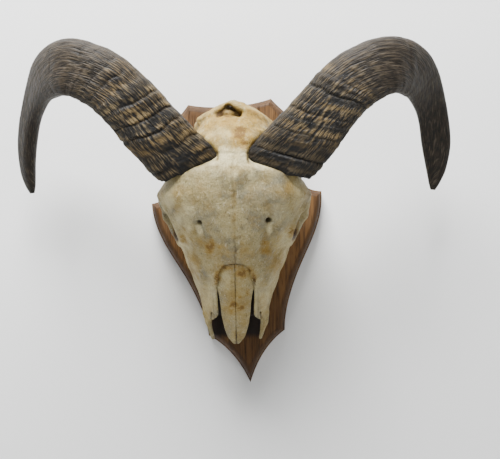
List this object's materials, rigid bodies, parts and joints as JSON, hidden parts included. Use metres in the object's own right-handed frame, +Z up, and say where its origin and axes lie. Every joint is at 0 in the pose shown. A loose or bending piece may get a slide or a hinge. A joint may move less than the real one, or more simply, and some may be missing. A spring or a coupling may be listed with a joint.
{
  "type": "mounted ram skull",
  "caption": "Life-size ram skull without its lower jaw, with both curved horns, fixed to a shield-shaped oak plaque that hangs on a wall.",
  "frame": {"origin": "centre of the plaque's back face, in the skull's middle plane", "axes": "+X to the viewer's right across the skull, +Z up, +Y into the wall; the forehead faces -Y"},
  "size_m": [0.3848, 0.1501, 0.2991],
  "materials": {
    "bone": "dry matt bone, cream with ochre stains",
    "horn": "rough dark horn with streaky ochre growth bands",
    "oak": "brown stained oak with open grain and a satin varnish"
  },
  "bodies": {
    "root": {"plaque": "oak", "cranium": "bone", "nasal_left": "bone", "nasal_right": "bone", "horn_left_base": "horn", "horn_left_bend": "horn", "horn_left_tip": "horn", "horn_right_base": "horn", "horn_right_bend": "horn", "horn_right_tip": "horn"}
  },
  "joints": []
}
